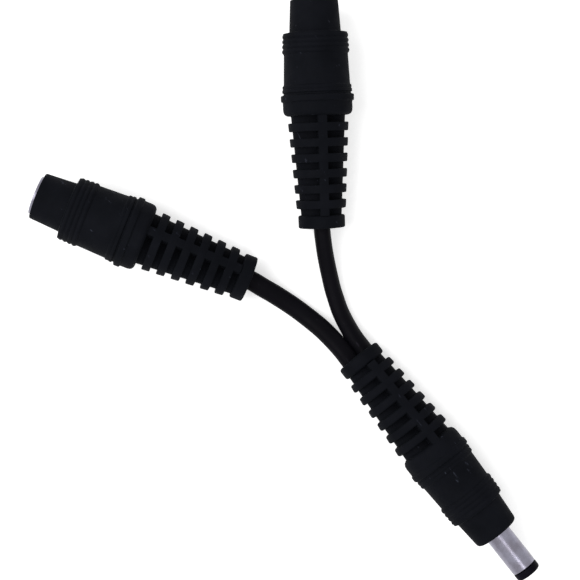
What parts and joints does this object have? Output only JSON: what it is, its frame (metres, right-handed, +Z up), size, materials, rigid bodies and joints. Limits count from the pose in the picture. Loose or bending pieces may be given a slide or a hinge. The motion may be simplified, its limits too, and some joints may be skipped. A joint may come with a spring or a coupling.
{
  "type": "barrel plug splitter cable",
  "caption": "Short black moulded splitter cable with one barrel plug and a pair of barrel sockets on two short leads.",
  "frame": {"origin": "middle of the area that the part covers on the surface it lies on", "axes": "+Y runs from the plug towards the sockets, +X is to the right seen from above, +Z is up from the surface"},
  "size_m": [0.0785, 0.1284, 0.0159],
  "materials": {
    "moulding": "satin matte black moulded plastic",
    "jacket": "soft black cable jacket",
    "insulator": "hard black plastic",
    "nickel": "nickel plating, slightly brushed",
    "contact_brass": "plain stamped brass",
    "positive_insulation": "red wire insulation",
    "negative_insulation": "black wire insulation"
  },
  "bodies": {
    "root": {"plug_overmould": "moulding", "plug_sleeve": "nickel", "plug_sleeve_lug": "contact_brass", "plug_insulator": "insulator", "plug_rear_washer": "insulator", "plug_centre_contact": "contact_brass", "socket_a_overmould": "moulding", "socket_a_shell": "nickel", "socket_a_insulator": "insulator", "socket_a_centre_pin": "nickel", "socket_a_contact_spring": "contact_brass", "socket_b_overmould": "moulding", "socket_b_shell": "nickel", "socket_b_insulator": "insulator", "socket_b_centre_pin": "nickel", "socket_b_contact_spring": "contact_brass", "lead_a_jacket": "jacket", "lead_b_jacket": "jacket", "lead_a_positive_wire": "positive_insulation", "lead_a_negative_wire": "negative_insulation", "lead_b_positive_wire": "positive_insulation", "lead_b_negative_wire": "negative_insulation"}
  },
  "joints": []
}
